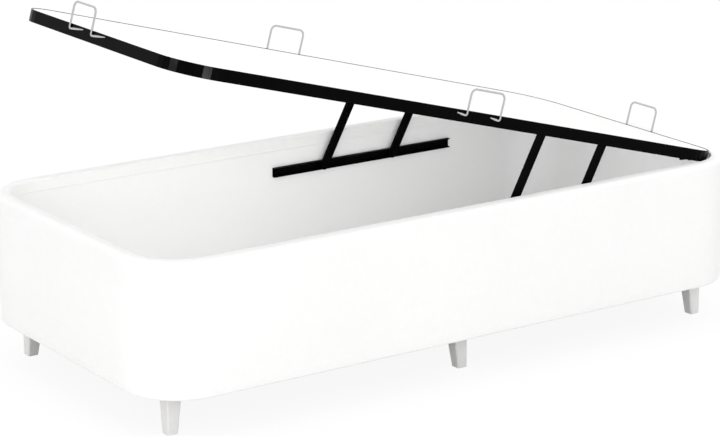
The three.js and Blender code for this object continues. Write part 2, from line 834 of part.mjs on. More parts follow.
function addRetainers() {
  const middle = hingeInset - lidLength / 2;
  const near = retainerGeometry(lowLoopHeight, sideTabLength, sideTabRise);
  near.translate(middle + nearLoopOffset, -lidWidth / 2, lidLocalTop);
  addPiece(lid, "retainer_near", near, "chrome");
  const far = retainerGeometry(highLoopHeight, sideTabLength, sideTabRise).rotateZ(Math.PI);
  far.translate(middle - farLoopOffset, lidWidth / 2, lidLocalTop);
  addPiece(lid, "retainer_far", far, "chrome");
  const foot = retainerGeometry(lowLoopHeight, endTabLength, endTabRise);
  foot.rotateZ(-Math.PI / 2).scale(1, -1, 1);
  addPiece(lid, "retainer_foot", turned(foot, hingeInset - lidLength, footLoopOffset), "chrome");
  const head = retainerGeometry(highLoopHeight, endTabLength, endTabRise);
  head.rotateZ(Math.PI / 2).scale(1, -1, 1);
  addPiece(lid, "retainer_head", turned(head, hingeInset, -headLoopOffset), "chrome");
}

// A mirrored copy has its faces turned back outwards, then goes to its end of the lid
function turned(geometry, x, y) {
  const merged = bare(geometry);
  return closedSolid(Array.from(merged.attributes.position.array), Array.from(merged.index.array))
    .translate(x, y, lidLocalTop);
}

addPanels();
addUpholstery();
addFloor();
addLegs();
addChannels();
addHingeBrackets();
addHingePins();
addFootRest();
addLidFrame();
addLidBoards();
addLidBars();
addHingeLeaves();
addStayPins();
addStays();
addRetainers();

export default base;
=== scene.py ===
import bmesh
import bpy
import json
import math
import random
from mathutils import Matrix, Vector, noise


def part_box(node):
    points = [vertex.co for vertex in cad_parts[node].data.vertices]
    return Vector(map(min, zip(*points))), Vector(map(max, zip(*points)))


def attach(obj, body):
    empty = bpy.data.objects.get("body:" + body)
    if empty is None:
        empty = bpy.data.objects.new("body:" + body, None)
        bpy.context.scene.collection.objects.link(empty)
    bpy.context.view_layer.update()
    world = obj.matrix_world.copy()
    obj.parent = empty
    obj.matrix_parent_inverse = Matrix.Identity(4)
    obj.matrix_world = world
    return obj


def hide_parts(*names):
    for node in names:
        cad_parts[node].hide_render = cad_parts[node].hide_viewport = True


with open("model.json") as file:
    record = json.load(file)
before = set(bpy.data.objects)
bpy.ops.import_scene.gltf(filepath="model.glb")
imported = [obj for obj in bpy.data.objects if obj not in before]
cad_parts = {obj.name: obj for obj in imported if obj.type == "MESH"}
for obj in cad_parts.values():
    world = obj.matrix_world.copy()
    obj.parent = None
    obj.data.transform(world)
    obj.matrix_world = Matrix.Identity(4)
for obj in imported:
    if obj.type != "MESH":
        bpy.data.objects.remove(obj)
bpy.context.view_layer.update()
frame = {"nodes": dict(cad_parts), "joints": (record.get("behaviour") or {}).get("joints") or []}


# Shell panels: four straight sides and four bent corners of birch plywood, tongued
# and grooved together. The sides are cut from sheet and the corners laminated in a mould.

def new_material(name):
    material = bpy.data.materials.new(name)
    material.use_nodes = True
    tree = material.node_tree
    return material, tree, tree.nodes["Principled BSDF"]


def new_group(name, inputs, outputs):
    """An empty node group; its inputs are (name, kind, value) and its outputs are numbers."""
    group = bpy.data.node_groups.new(name, "ShaderNodeTree")
    for socket, kind, value in inputs:
        made = group.interface.new_socket(
            socket, in_out="INPUT", socket_type="NodeSocket" + kind)
        if value is not None:
            made.default_value = value
    for socket in outputs:
        group.interface.new_socket(socket, in_out="OUTPUT", socket_type="NodeSocketFloat")
    start = group.nodes.new("NodeGroupInput")
    end = group.nodes.new("NodeGroupOutput")
    return group, start.outputs, end.inputs


def place_group(tree, group, vector, **values):
    """The outputs of the group, whose first input takes the vector."""
    node = tree.nodes.new("ShaderNodeGroup")
    node.node_tree = group
    for name, value in values.items():
        node.inputs[name].default_value = value
    tree.links.new(vector, node.inputs[0])
    return node.outputs


def stretched(tree, vector, scale):
    node = tree.nodes.new("ShaderNodeMapping")
    node.inputs["Scale"].default_value = scale
    tree.links.new(vector, node.inputs["Vector"])
    return node.outputs["Vector"]


def texture(tree, kind, vector, **values):
    """A texture node laid by the vector, with these input values."""
    node = tree.nodes.new("ShaderNodeTex" + kind)
    for name, value in values.items():
        node.inputs[name].default_value = value
    tree.links.new(vector, node.inputs["Vector"])
    return node


def noise_value(tree, vector, scale, detail=3.0, roughness=0.55):
    made = texture(tree, "Noise", vector, Scale=scale, Detail=detail, Roughness=roughness)
    return made.outputs["Fac"]


def maths(tree, operation, *values):
    """The result of a maths node on these values, each one a socket or a number."""
    node = tree.nodes.new("ShaderNodeMath")
    node.operation = operation
    for socket, value in zip(node.inputs, values):
        if isinstance(value, (int, float)):
            socket.default_value = value
        else:
            tree.links.new(value, socket)
    return node.outputs[0]


def value_range(tree, source, low, high, out_low, out_high):
    node = tree.nodes.new("ShaderNodeMapRange")
    node.inputs["From Min"].default_value = low
    node.inputs["From Max"].default_value = high
    node.inputs["To Min"].default_value = out_low
    node.inputs["To Max"].default_value = out_high
    tree.links.new(source, node.inputs["Value"])
    return node.outputs["Result"]


def colour_ramp(tree, source, *stops):
    ramp = tree.nodes.new("ShaderNodeValToRGB")
    elements = ramp.color_ramp.elements
    while len(elements) < len(stops):
        elements.new(0.5)
    for element, (place, colour) in zip(elements, stops):
        element.position = place
        element.color = (*colour, 1)
    tree.links.new(source, ramp.inputs["Fac"])
    return ramp.outputs["Color"]


def base_colour(tree, bsdf, source, *stops):
    tree.links.new(colour_ramp(tree, source, *stops), bsdf.inputs["Base Color"])


def roughness(tree, bsdf, source, low, high, smooth, dull):
    """Runs the roughness from smooth to dull as the source runs from low to high."""
    tree.links.new(value_range(tree, source, low, high, smooth, dull), bsdf.inputs["Roughness"])


def relief(tree, bsdf, height, distance, strength):
    bump = tree.nodes.new("ShaderNodeBump")
    bump.inputs["Strength"].default_value = strength
    bump.inputs["Distance"].default_value = distance
    tree.links.new(height, bump.inputs["Height"])
    tree.links.new(bump.outputs["Normal"], bsdf.inputs["Normal"])


def place_on_object(tree):
    return tree.nodes.new("ShaderNodeTexCoord").outputs["Object"]


def handling_group():
    """Faint handling marks and dust: a broad mask and a fine one, both of noise."""
    group, given, out = new_group(
        "handling_marks", [("Place", "Vector", None), ("Breadth", "Float", 9.0)],
        ["Marks", "Fine"])
    broad = texture(group, "Noise", given["Place"], Detail=4)
    group.links.new(given["Breadth"], broad.inputs["Scale"])
    marks = value_range(group, broad.outputs["Fac"], 0.35, 0.7, 0.0, 1.0)
    group.links.new(marks, out["Marks"])
    group.links.new(noise_value(group, given["Place"], 420.0, 2.0), out["Fine"])
    return group


handling_marks = handling_group()


def marked_material(name, breadth):
    """A new material with its place on the object and handling marks of this breadth."""
    material, tree, bsdf = new_material(name)
    place = place_on_object(tree)
    return material, tree, bsdf, place, place_group(tree, handling_marks, place, Breadth=breadth)


birch_light = (0.72, 0.56, 0.38)
birch_bright = tuple(min(1, c * 1.08) for c in birch_light)
birch_dark = (0.50, 0.34, 0.20)
ply_glue = (0.26, 0.15, 0.08)
ply_pitch = 0.0015
# a wave texture repeats about every 0.314 m over its scale
ply_waves = 1 / ply_pitch / 6.2832 * 2


def plywood(name, grain_scale, ply_axis, face=None):
    """Birch plywood: long grain or a facing on the faces, and plies on the cut edges."""
    material, tree, bsdf, place, marks = marked_material(name, 6.0)
    run = stretched(tree, place, grain_scale)
    fibre = noise_value(tree, run, 60.0, 6.0, 0.65)
    if face is None:
        figure = value_range(tree, noise_value(tree, run, 9.0), 0.3, 0.7, 0.0, 0.45)
        grain = maths(tree, "MULTIPLY_ADD", fibre, 0.55, figure)
        broad_face = colour_ramp(
            tree, grain, (0.25, birch_dark), (0.5, birch_light), (0.8, birch_bright))
    else:
        broad_face = face(tree, place)
    plies = texture(tree, "Wave", place, Scale=ply_waves, Distortion=0.6)
    plies.bands_direction = "XYZ"[ply_axis]
    cut_edge = colour_ramp(
        tree, plies.outputs["Fac"], (0.15, ply_glue), (0.35, birch_dark), (0.7, birch_light))
    turned = tree.nodes.new("ShaderNodeSeparateXYZ")
    tree.links.new(tree.nodes.new("ShaderNodeNewGeometry").outputs["Normal"], turned.inputs[0])
    facing = maths(tree, "ABSOLUTE", turned.outputs[ply_axis])
    mixed = tree.nodes.new("ShaderNodeMix")
    mixed.data_type = "RGBA"
    tree.links.new(value_range(tree, facing, 0.6, 0.75, 0.0, 1.0), mixed.inputs["Factor"])
    tree.links.new(cut_edge, mixed.inputs["A"])
    tree.links.new(broad_face, mixed.inputs["B"])
    tree.links.new(mixed.outputs["Result"], bsdf.inputs["Base Color"])
    roughness(tree, bsdf, marks["Marks"], 0, 1, 0.55, 0.72)
    relief(tree, bsdf, fibre, 0.0003, 0.5)
    return material


def dress(node, material):
    """Gives a carried-over node its material."""
    piece = frame["nodes"][node]
    piece.data.materials.clear()
    piece.data.materials.append(material)


side_ply = plywood("panel_plywood_along_x", (1, 8, 8), 1)
end_ply = plywood("panel_plywood_along_y", (8, 1, 8), 0)
corner_ply = plywood("panel_plywood_bent", (8, 8, 1), 1)
for name in ("side_panel_near", "side_panel_far"):
    dress(name, side_ply)
for name in ("end_panel_head", "end_panel_foot"):
    dress(name, end_ply)
for name in ("head_near", "head_far", "foot_near", "foot_far"):
    dress("corner_panel_" + name, corner_ply)


# Foam padding: 15 mm polyurethane foam glued round the outside of the panels and over
# their top edge, so that the shell has no hard corner.

outer_corner_radius = 0.162
shell_low, shell_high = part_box("upholstery_cover")
shell_length = shell_high.x - shell_low.x
shell_width = shell_high.y - shell_low.y
rim_level = shell_high.z
shell_level = shell_low.z
lining_low, lining_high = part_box("inner_lining")
cloth_thickness = 0.002
clearance = 0.0003
lining_out = (shell_width - (lining_high.y - lining_low.y)) / 2
wall_thickness = lining_out + 0.002
rim_outer_radius, rim_outer_steps = 0.014, 10
rim_inner_radius, rim_inner_steps = 0.005, 6


def arc(centre, radius, start, end, steps):
    """Points of an arc in the section plane, angles in degrees."""
    made = []
    for step in range(steps + 1):
        angle = math.radians(start + (end - start) * step / steps)
        made.append((centre[0] + radius * math.cos(angle), centre[1] + radius * math.sin(angle)))
    return made


def filled(points, spacing):
    """The same outline with extra points on its long straights."""
    made = [points[0]]
    for before, after in zip(points, points[1:]):
        count = max(1, round(math.dist(before, after) / spacing))
        for step in range(1, count + 1):
            share = step / count
            made.append(tuple(b + (a - b) * share for b, a in zip(before, after)))
    return made


def plan_stations(length, width, radius, corner_steps, spacing):
    """Stations round a rounded rectangle, each one the corner's centre or its place along a
    straight, the outward direction and the run so far; and the whole run."""
    half_x, half_y = length / 2 - radius, width / 2 - radius
    stations = []
    run = 0.0
    quarter = radius * math.radians(90)
    corners = [(half_x, half_y, 0), (-half_x, half_y, 90),
               (-half_x, -half_y, 180), (half_x, -half_y, 270)]
    for index, (x, y, first) in enumerate(corners):
        for step in range(corner_steps + 1):
            angle = math.radians(first + 90 * step / corner_steps)
            outward = Vector((math.cos(angle), math.sin(angle)))
            stations.append((Vector((x, y)), outward, run + quarter * step / corner_steps))
        run += quarter
        start, end = Vector((x, y)), Vector(corners[(index + 1) % 4][:2])
        straight = (end - start).length
        count = max(1, round(straight / spacing))
        for step in range(1, count):
            share = step / count
            stations.append((start.lerp(end, share), outward, run + straight * share))
        run += straight
    return stations, run


def swept_ring(name, section, corner_steps, spacing, shift=None):
    """A closed section of (inset, height) points swept round the shell's plan, with the
    cloth's run as UVs. The shift is a function that moves a point of the surface."""
    stations, total = plan_stations(
        shell_length, shell_width, outer_corner_radius, corner_steps, spacing)
    mesh = bmesh.new()
    layer = mesh.loops.layers.uv.new("cloth_run")
    along = [0.0]
    for before, after in zip(section, section[1:] + section[:1]):
        along.append(along[-1] + math.dist(before, after))
    rows = []
    for centre, outward, run in stations:
        row = []
        for index, (inset, height) in enumerate(section):
            point = centre + outward * (outer_corner_radius - inset)
            place = Vector((point.x, point.y, height))
            if shift is not None:
                place += shift(index, outward, place)
            row.append(mesh.verts.new(place))
        rows.append(row)
    count = len(section)
    for number, row in enumerate(rows):
        after = rows[(number + 1) % len(rows)]
        here = stations[number][2]
        onward = stations[(number + 1) % len(rows)][2] or total
        for k in range(count):
            up = (k + 1) % count
            face = mesh.faces.new((row[k], row[up], after[up], after[k]))
            face.smooth = True
            low, high = along[k], along[k + 1]
            runs = ((here, low), (here, high), (onward, high), (onward, low))
            for loop, place in zip(face.loops, runs):
                loop[layer].uv = place
    return finished(name, mesh)


def finished(name, mesh, crease=38):
    """Turns the mesh into a piece; edges sharper than the crease angle stay crisp."""
    bmesh.ops.recalc_face_normals(mesh, faces=mesh.faces)
    for edge in mesh.edges:
        edge.smooth = (len(edge.link_faces) == 2
                       and edge.calc_face_angle(0) < math.radians(crease))
    data = bpy.data.meshes.new(name)
    mesh.to_mesh(data)
    mesh.free()
    piece = bpy.data.objects.new(name, data)
    bpy.context.scene.collection.objects.link(piece)
    return piece


def rim_outline(depth):
    """The top of the wall at this depth under its surface, from outside over to inside."""
    outer = rim_outer_radius - depth
    inner = max(rim_inner_radius - depth, 0.0005)
    top = rim_level - depth
    left = arc((depth + outer, top - outer), outer, 180, 90, rim_outer_steps)
    right = arc((wall_thickness - depth - inner, top - inner), inner, 90, 0, rim_inner_steps)
    return left + right


def foam_material():
    material, tree, bsdf = new_material("foam_open_cell")
    place = place_on_object(tree)
    cells = texture(tree, "Voronoi", place, Scale=900).outputs["Distance"]
    base_colour(tree, bsdf, noise_value(tree, place, 14.0),
                (0.3, (0.80, 0.74, 0.56)), (0.7, (0.87, 0.82, 0.66)))
    roughness(tree, bsdf, cells, 0, 0.6, 0.85, 1.0)
    relief(tree, bsdf, cells, 0.0006, 0.6)
    return material


foam_low, foam_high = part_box("foam_padding")
foam_depth = (shell_width - (foam_high.y - foam_low.y)) / 2
panel_low, panel_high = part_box("side_panel_near")
foam_inside = panel_low.y - shell_low.y - clearance
foam_ledge = panel_high.z + clearance
foam_bevel_across, foam_bevel_up = 0.006, 0.009
foam_outside = [(foam_depth, foam_low.z + foam_bevel_up)] + rim_outline(foam_depth)
foam_section = filled(foam_outside, 0.05) + [
    (wall_thickness - foam_depth, foam_ledge),
    (foam_inside, foam_ledge),
    (foam_inside, foam_low.z),
    (foam_depth + foam_bevel_across, foam_low.z),
]
foam = swept_ring("foam_wrap", foam_section, 16, 0.12)
foam.data.materials.append(foam_material())
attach(foam, "base")
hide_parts("foam_padding")


# Upholstery cover: one wrap of smooth white coated cloth drawn over the foam, rolled over
# the rim and stapled under the shell. Its ends meet in a sewn seam at the middle of the head end.

def grain_group():
    """Embossed grain of coated cloth: rounded pebbles between fine creases, a little uneven."""
    group, given, out = new_group(
        "pebble_grain",
        [("Run", "Vector", None), ("Pebbles", "Float", 620.0), ("Unevenness", "Float", 0.35)],
        ["Height", "Yarn"])
    pebbles = texture(group, "Voronoi", given["Run"])
    group.links.new(given["Pebbles"], pebbles.inputs["Scale"])
    rounded = value_range(group, pebbles.outputs["Distance"], 0.0, 0.75, 1.0, 0.0)
    slow = noise_value(group, given["Run"], 48.0, 4.0)
    height = maths(group, "MULTIPLY_ADD", slow, given["Unevenness"], rounded)
    group.links.new(height, out["Height"])
    group.links.new(slow, out["Yarn"])
    return group


pebble_grain = grain_group()


def leather_grain(tree, run):
    return place_group(tree, pebble_grain, run, Pebbles=560.0)


def cloth_material(name, light, shade, surface, relief_height, rough,
                   sheen=0.12, on_object=False):
    """Cloth of one colour with broad handling marks; surface lays its grain or weave along
    the cloth's run, or on_object along the object's own axes."""
    material, tree, bsdf, place, marks = marked_material(name, 3.2)
    run = place
    if not on_object:
        laid = tree.nodes.new("ShaderNodeUVMap")
        laid.uv_map = "cloth_run"
        run = laid.outputs["UV"]
    weave = surface(tree, run)
    yarn = value_range(tree, weave["Yarn"], 0.3, 0.7, 0.0, 0.45)
    tone = tree.nodes.new("ShaderNodeMix")
    tone.data_type = "RGBA"
    tone.inputs["A"].default_value = (*light, 1)
    tone.inputs["B"].default_value = (*shade, 1)
    tree.links.new(maths(tree, "MULTIPLY_ADD", marks["Marks"], 0.55, yarn), tone.inputs["Factor"])
    tree.links.new(tone.outputs["Result"], bsdf.inputs["Base Color"])
    roughness(tree, bsdf, weave["Yarn"], 0.3, 0.7, rough - 0.05, rough + 0.06)
    bsdf.inputs["Sheen Weight"].default_value = sheen
    bsdf.inputs["Sheen Roughness"].default_value = 0.5
    bsdf.inputs["Specular IOR Level"].default_value = 0.25
    relief(tree, bsdf, weave["Height"], relief_height, 0.7)
    return material


cover_cloth = cloth_material(
    "cover_cloth_white", (0.93, 0.93, 0.925), (0.90, 0.90, 0.895), leather_grain, 0.00035, 0.5)

hem_width = 0.024
bottom_rounding = 0.007
rim_hem_level = lining_high.z + clearance
bottom_centre = (bottom_rounding, shell_level + bottom_rounding)
cover_outside = filled(
    [(hem_width, shell_level)] + arc(bottom_centre, bottom_rounding, 270, 180, 6)
    + rim_outline(0) + [(wall_thickness, rim_hem_level)], 0.022)
cover_inside = (
    [(wall_thickness - cloth_thickness, rim_hem_level)] + rim_outline(cloth_thickness)[::-1]
    + arc(bottom_centre, bottom_rounding - cloth_thickness, 180, 270, 4)
    + [(hem_width, shell_level + cloth_thickness)])
cover_section = cover_outside + cover_inside
held_edge = 0.02
side_inset = 0.005
foam_swell = 0.0007


def foam_give(x, y, height):
    """How far the soft side stands in or out here: a slight crown, held at rim and hem."""
    if height < shell_level + held_edge or height > rim_level - held_edge:
        return 0.0
    hold = math.sin(math.pi * (height - shell_level) / (rim_level - shell_level)) ** 0.5
    give = noise.noise(Vector((x * 4.2, y * 4.2, height * 5.0))) * foam_swell
    return (give + foam_swell) * hold - foam_swell


def cover_softness(index, outward, place):
    if index >= len(cover_outside) or cover_section[index][0] > side_inset:
        return Vector((0, 0, 0))
    give = foam_give(place.x, place.y, cover_section[index][1])
    return Vector((outward.x, outward.y, 0)) * give


cover = swept_ring("cover_wrap", cover_section, 32, 0.025, cover_softness)
cover.data.materials.append(cover_cloth)
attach(cover, "base")
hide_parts("upholstery_cover")


# Closing seam of the cover: the two ends of the wrap are sewn face to face and turned in,
# which leaves a fine raised line with a row of lockstitches on each side.

def skin(mesh, rings, smooth):
    """Quads from each closed ring of points to the next one."""
    for first, second in zip(rings, rings[1:]):
        count = len(first)
        for k in range(count):
            after = (k + 1) % count
            quad = mesh.faces.new((first[k], first[after], second[after], second[k]))
            quad.smooth = smooth


def capped(mesh, rings):
    """A closed bar through these rings, with flat ends."""
    skin(mesh, rings, smooth=True)
    mesh.faces.new(rings[0][::-1])
    mesh.faces.new(rings[-1])


def thread_material():
    material, tree, bsdf = new_material("thread_white")
    twist = noise_value(tree, place_on_object(tree), 2600.0, 2.0)
    base_colour(tree, bsdf, twist, (0.3, (0.80, 0.80, 0.79)), (0.7, (0.92, 0.92, 0.91)))
    roughness(tree, bsdf, twist, 0.3, 0.7, 0.45, 0.65)
    relief(tree, bsdf, twist, 0.0002, 0.5)
    return material


stitch_pitch = 0.0042
stitch_offset = 0.004
stitch_length, thread_width = 0.0032, 0.0009
stitch_sunk = 0.0001
# along the stitch: place, rise and girth of the hump
stitch_shape = [(-0.5, 0.0, 0.35), (-0.36, 0.5, 0.85), (0, 0.85, 1.0),
                (0.36, 0.5, 0.85), (0.5, 0.0, 0.35)]


def stitch(mesh, place, sides=6):
    """One lockstitch on the head end: a small rounded hump of thread."""
    rings = []
    for share, rise, girth in stitch_shape:
        ring = []
        for step in range(sides):
            angle = step / sides * 2 * math.pi
            out = rise * thread_width * 0.5 + math.sin(angle) * thread_width / 2 * girth
            across = math.cos(angle) * thread_width / 2 * girth
            ring.append(mesh.verts.new(place + Vector((out, across, share * stitch_length))))
        rings.append(ring)
    capped(mesh, rings)


stitches = bmesh.new()
level = shell_level + 0.012
while level < rim_level - 0.016:
    surface_x = shell_high.x + foam_give(shell_high.x, 0, level)
    for offset in (-stitch_offset, stitch_offset):
        stitch(stitches, Vector((surface_x - stitch_sunk, offset, level)))
    level += stitch_pitch
for face in stitches.faces:
    face.smooth = True
closing_stitches = finished("cover_seam_stitches", stitches, 100)
closing_stitches.data.materials.append(thread_material())
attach(closing_stitches, "base")

seam_profile = [(-0.0016, -0.0006), (-0.0011, 0.0002), (-0.0004, 0.0005), (0.0, 0.0001),
                (0.0004, 0.0005), (0.0011, 0.0002), (0.0016, -0.0006)]
seam_steps = 40
seam_start, seam_end = 0.008, 0.014
seam_height = rim_level - seam_end - shell_level - seam_start
seam_mesh = bmesh.new()
seam_rows = []
for step in range(seam_steps + 1):
    height = shell_level + seam_start + seam_height * step / seam_steps
    surface_x = shell_high.x + foam_give(shell_high.x, 0, height)
    seam_rows.append([seam_mesh.verts.new((surface_x + out, across, height))
                      for across, out in seam_profile])
capped(seam_mesh, seam_rows)
cover_seam = finished("cover_seam_fold", seam_mesh)
cover_seam.data.materials.append(cloth_material(
    "cover_cloth_folds", (0.92, 0.92, 0.915), (0.88, 0.88, 0.875), leather_grain, 0.0002, 0.55,
    on_object=True))
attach(cover_seam, "base")


# Staples: wire staples that hold the cover's hem to the underside of the panels, one every
# 55 mm, each shot in a little askew.

def staple_material():
    material, tree, bsdf, place, marks = marked_material("staple_wire", 60.0)
    base_colour(tree, bsdf, marks["Fine"], (0.3, (0.55, 0.56, 0.57)), (0.7, (0.70, 0.71, 0.72)))
    bsdf.inputs["Metallic"].default_value = 1.0
    roughness(tree, bsdf, marks["Marks"], 0, 1, 0.28, 0.45)
    return material


staple_wire = staple_material()
staple_width = 0.010
staple_thick = 0.0007
wire_width = 0.0013
staple_leg = (0.0008, wire_width, 0.0018)
staple_pitch = 0.055
staple_seed = 11


def small_box(mesh, centre, size, turn):
    matrix = Matrix.Translation(centre) @ turn.to_4x4() @ Matrix.Diagonal((*size, 1))
    bmesh.ops.create_cube(mesh, size=1.0, matrix=matrix)


def staple_crown(mesh, x, y, level, turn):
    """The part of a staple that shows under a level face."""
    centre = Vector((x, y, level - staple_thick / 2))
    small_box(mesh, centre, (staple_width, wire_width, staple_thick), turn)


def stapled(name, mesh):
    piece = finished(name, mesh)
    piece.data.materials.append(staple_wire)
    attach(piece, "base")


def hem_staples(inset, level, skew):
    """A ring of staples under the hem, with their legs in it."""
    draw = random.Random(staple_seed)
    mesh = bmesh.new()
    stations, total = plan_stations(
        shell_length, shell_width, outer_corner_radius, 6, staple_pitch)
    for centre, outward, run in stations:
        point = centre + outward * (outer_corner_radius - inset)
        angle = math.atan2(outward.y, outward.x) + math.radians(90 + draw.uniform(-skew, skew))
        turn = Matrix.Rotation(angle, 3, "Z")
        staple_crown(mesh, point.x, point.y, level, turn)
        for end in (-1, 1):
            leg = turn @ Vector((end * (staple_width / 2 - staple_leg[0] / 2), 0, 0))
            centre = Vector((point.x + leg.x, point.y + leg.y, level + 0.0006))
            small_box(mesh, centre, staple_leg, turn)
    stapled("hem_staples", mesh)


hem_staples(hem_width - 0.007, shell_level, skew=18)


# Inner lining: smooth pale board in the storage box, bent round the corners and tucked up
# under the edge of the cover, with a fine pressed grain.

lining_section = filled([
    (wall_thickness, lining_low.z),
    (wall_thickness, lining_high.z - 0.0012),
    (wall_thickness - 0.0004, lining_high.z - 0.0002),
    (wall_thickness - 0.001, lining_high.z),
    (lining_out, lining_high.z),
    (lining_out, lining_low.z),
], 0.05)
lining = swept_ring("lining_board", lining_section, 28, 0.06)
lining.data.materials.append(cloth_material(
    "lining_board_pale", (0.93, 0.93, 0.93), (0.91, 0.91, 0.91), leather_grain, 0.0002, 0.5,
    sheen=0.05))
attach(lining, "base")
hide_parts("inner_lining")


# Cross rails and floor boards: rails of laminated birch across the shell, with two boards
# faced in pale melamine laid on them inside the lining.

rail_ply = plywood("rail_plywood", (8, 1, 8), 2)
rails = ["cross_rail_%d" % index for index in range(1, 6)]
for name in rails:
    dress(name, rail_ply)


def melamine_face(tree, place):
    figure = noise_value(tree, stretched(tree, place, (1, 6, 1)), 26.0, 5.0)
    return colour_ramp(tree, figure, (0.3, (0.86, 0.86, 0.855)), (0.7, (0.90, 0.90, 0.895)))


board_ply = plywood("floor_board_faced", (1, 8, 8), 2, face=melamine_face)
dress("floor_board_foot", board_ply)
dress("floor_board_head", board_ply)


# Bottom cloth: black non-woven dust cloth stretched under the rails and stapled to them,
# so it hangs a little between them.

def dust_cloth_material():
    material, tree, bsdf = new_material("dust_cloth_black")
    place = place_on_object(tree)
    fibres = texture(tree, "Voronoi", place, Scale=420)
    fibres.feature = "DISTANCE_TO_EDGE"
    dots = texture(tree, "Voronoi", place, Scale=300, Randomness=0.1).outputs["Distance"]
    base_colour(tree, bsdf, fibres.outputs["Distance"],
                (0.0, (0.035, 0.035, 0.037)), (0.15, (0.016, 0.016, 0.017)))
    roughness(tree, bsdf, dots, 0.0, 0.5, 0.62, 0.95)
    relief(tree, bsdf, dots, 0.0003, 0.6)
    return material


cloth_low, cloth_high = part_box("bottom_cloth")
sag_depth = 0.0035
wrinkle_depth = 0.0006
cloth_sheet_thickness = 0.0006


def stretched_cloth():
    """A closed thin sheet over the shell's plan, held at its edge and by the rails."""
    columns, rows = 150, 72
    radius = outer_corner_radius - (cloth_low.x - shell_low.x)
    half_x = (cloth_high.x - cloth_low.x) / 2
    half_y = (cloth_high.y - cloth_low.y) / 2
    rail_boxes = [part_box(name) for name in rails]
    mesh = bmesh.new()
    layer = mesh.loops.layers.uv.new("cloth_run")

    def point(i, j, drop):
        u, v = 2 * i / columns - 1, 2 * j / rows - 1
        x = u * half_x
        # the grid's corners are pulled in to the rounded plan
        reach = half_y
        over = abs(x) - (half_x - radius)
        if over > 0:
            reach = half_y - radius + math.sqrt(max(radius ** 2 - over ** 2, 0))
        y = v * reach
        depth = 0.0
        for (_, start), (end, _) in zip(rail_boxes, rail_boxes[1:]):
            if start.x < x < end.x:
                share = (x - start.x) / (end.x - start.x)
                depth = math.sin(math.pi * share) * max(0.0, 1 - v ** 4)
        wrinkle = noise.noise(Vector((x * 9, y * 2.5, 0))) * wrinkle_depth * (1 - v ** 6)
        level = cloth_high.z - clearance - sag_depth * depth + wrinkle * (depth > 0)
        return mesh.verts.new((x, y, min(level, cloth_high.z) - drop))

    def quad(a, b, c, d):
        if len({tuple(round(n, 7) for n in v.co) for v in (a, b, c, d)}) < 3:
            return
        face = mesh.faces.new((a, b, c, d))
        face.smooth = True
        for loop in face.loops:
            loop[layer].uv = (loop.vert.co.x, loop.vert.co.y)

    top, bottom = [[[point(i, j, drop) for j in range(rows + 1)] for i in range(columns + 1)]
                   for drop in (0.0, cloth_sheet_thickness)]
    for i in range(columns):
        for j in range(rows):
            quad(top[i][j], top[i + 1][j], top[i + 1][j + 1], top[i][j + 1])
            quad(bottom[i][j], bottom[i][j + 1], bottom[i + 1][j + 1], bottom[i + 1][j])
    for i in range(columns):
        quad(top[i + 1][0], top[i][0], bottom[i][0], bottom[i + 1][0])
        quad(top[i][rows], top[i + 1][rows], bottom[i + 1][rows], bottom[i][rows])
    for j in range(rows):
        quad(top[0][j], top[0][j + 1], bottom[0][j + 1], bottom[0][j])
        quad(top[-1][j + 1], top[-1][j], bottom[-1][j], bottom[-1][j + 1])
    return finished("dust_cloth", mesh)


dust_cloth = stretched_cloth()
dust_cloth.data.materials.append(dust_cloth_material())
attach(dust_cloth, "base")
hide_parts("bottom_cloth")

rail_staples = bmesh.new()
rail_draw = random.Random(staple_seed)
rail_skew = 20
last_staple = 12
end_margin = 0.03
for name in rails:
    low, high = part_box(name)
    for step in range(last_staple + 1):
        y = (low.y + end_margin) + (high.y - low.y - 2 * end_margin) * step / last_staple
        angle = math.radians(90 + rail_draw.uniform(-rail_skew, rail_skew))
        staple_crown(rail_staples, (low.x + high.x) / 2, y,
                     cloth_high.z - clearance - cloth_sheet_thickness,
                     Matrix.Rotation(angle, 3, "Z"))
stapled("rail_staples", rail_staples)


# Legs: tapered blocks painted light grey, each pulled up against its rail by one bolt
# through the shell's bottom.

def leg_paint_material(colour, rough):
    material, tree, bsdf, place, marks = marked_material("leg_paint_light_grey", 22.0)
    base_colour(tree, bsdf, marks["Marks"],
                (0.0, colour), (1.0, tuple(c * 0.965 for c in colour)))
    roughness(tree, bsdf, marks["Marks"], 0, 1, rough, rough + 0.12)
    relief(tree, bsdf, noise_value(tree, place, 700.0), 0.0001, 0.35)
    return material


leg_paint = leg_paint_material((0.84, 0.84, 0.835), 0.38)
leg_names = ("foot_near", "foot_far", "middle_near", "middle_far", "head_near", "head_far")
for name in leg_names:
    dress("leg_" + name, leg_paint)


# Leg bolts: zinc-plated steel, sunk in the rail and the leg, with a fine uneven texture.

def plated(name, colour, rough, breadth=40.0):
    material, tree, bsdf, place, marks = marked_material(name, breadth)
    base_colour(tree, bsdf, marks["Fine"],
                (0.3, tuple(c * 0.94 for c in colour)), (0.7, colour))
    bsdf.inputs["Metallic"].default_value = 1.0
    roughness(tree, bsdf, marks["Marks"], 0, 1, rough, rough + 0.12)
    relief(tree, bsdf, marks["Fine"], 0.00005, 0.4)
    return material


zinc = plated("zinc_plate", (0.72, 0.73, 0.74), 0.25)
for name in leg_names:
    dress("leg_bolt_" + name, zinc)


# Stay channels: rolled steel channels on the side walls, painted black and screwed
# through the lining, open towards the middle so that the stays' feet can run along them.

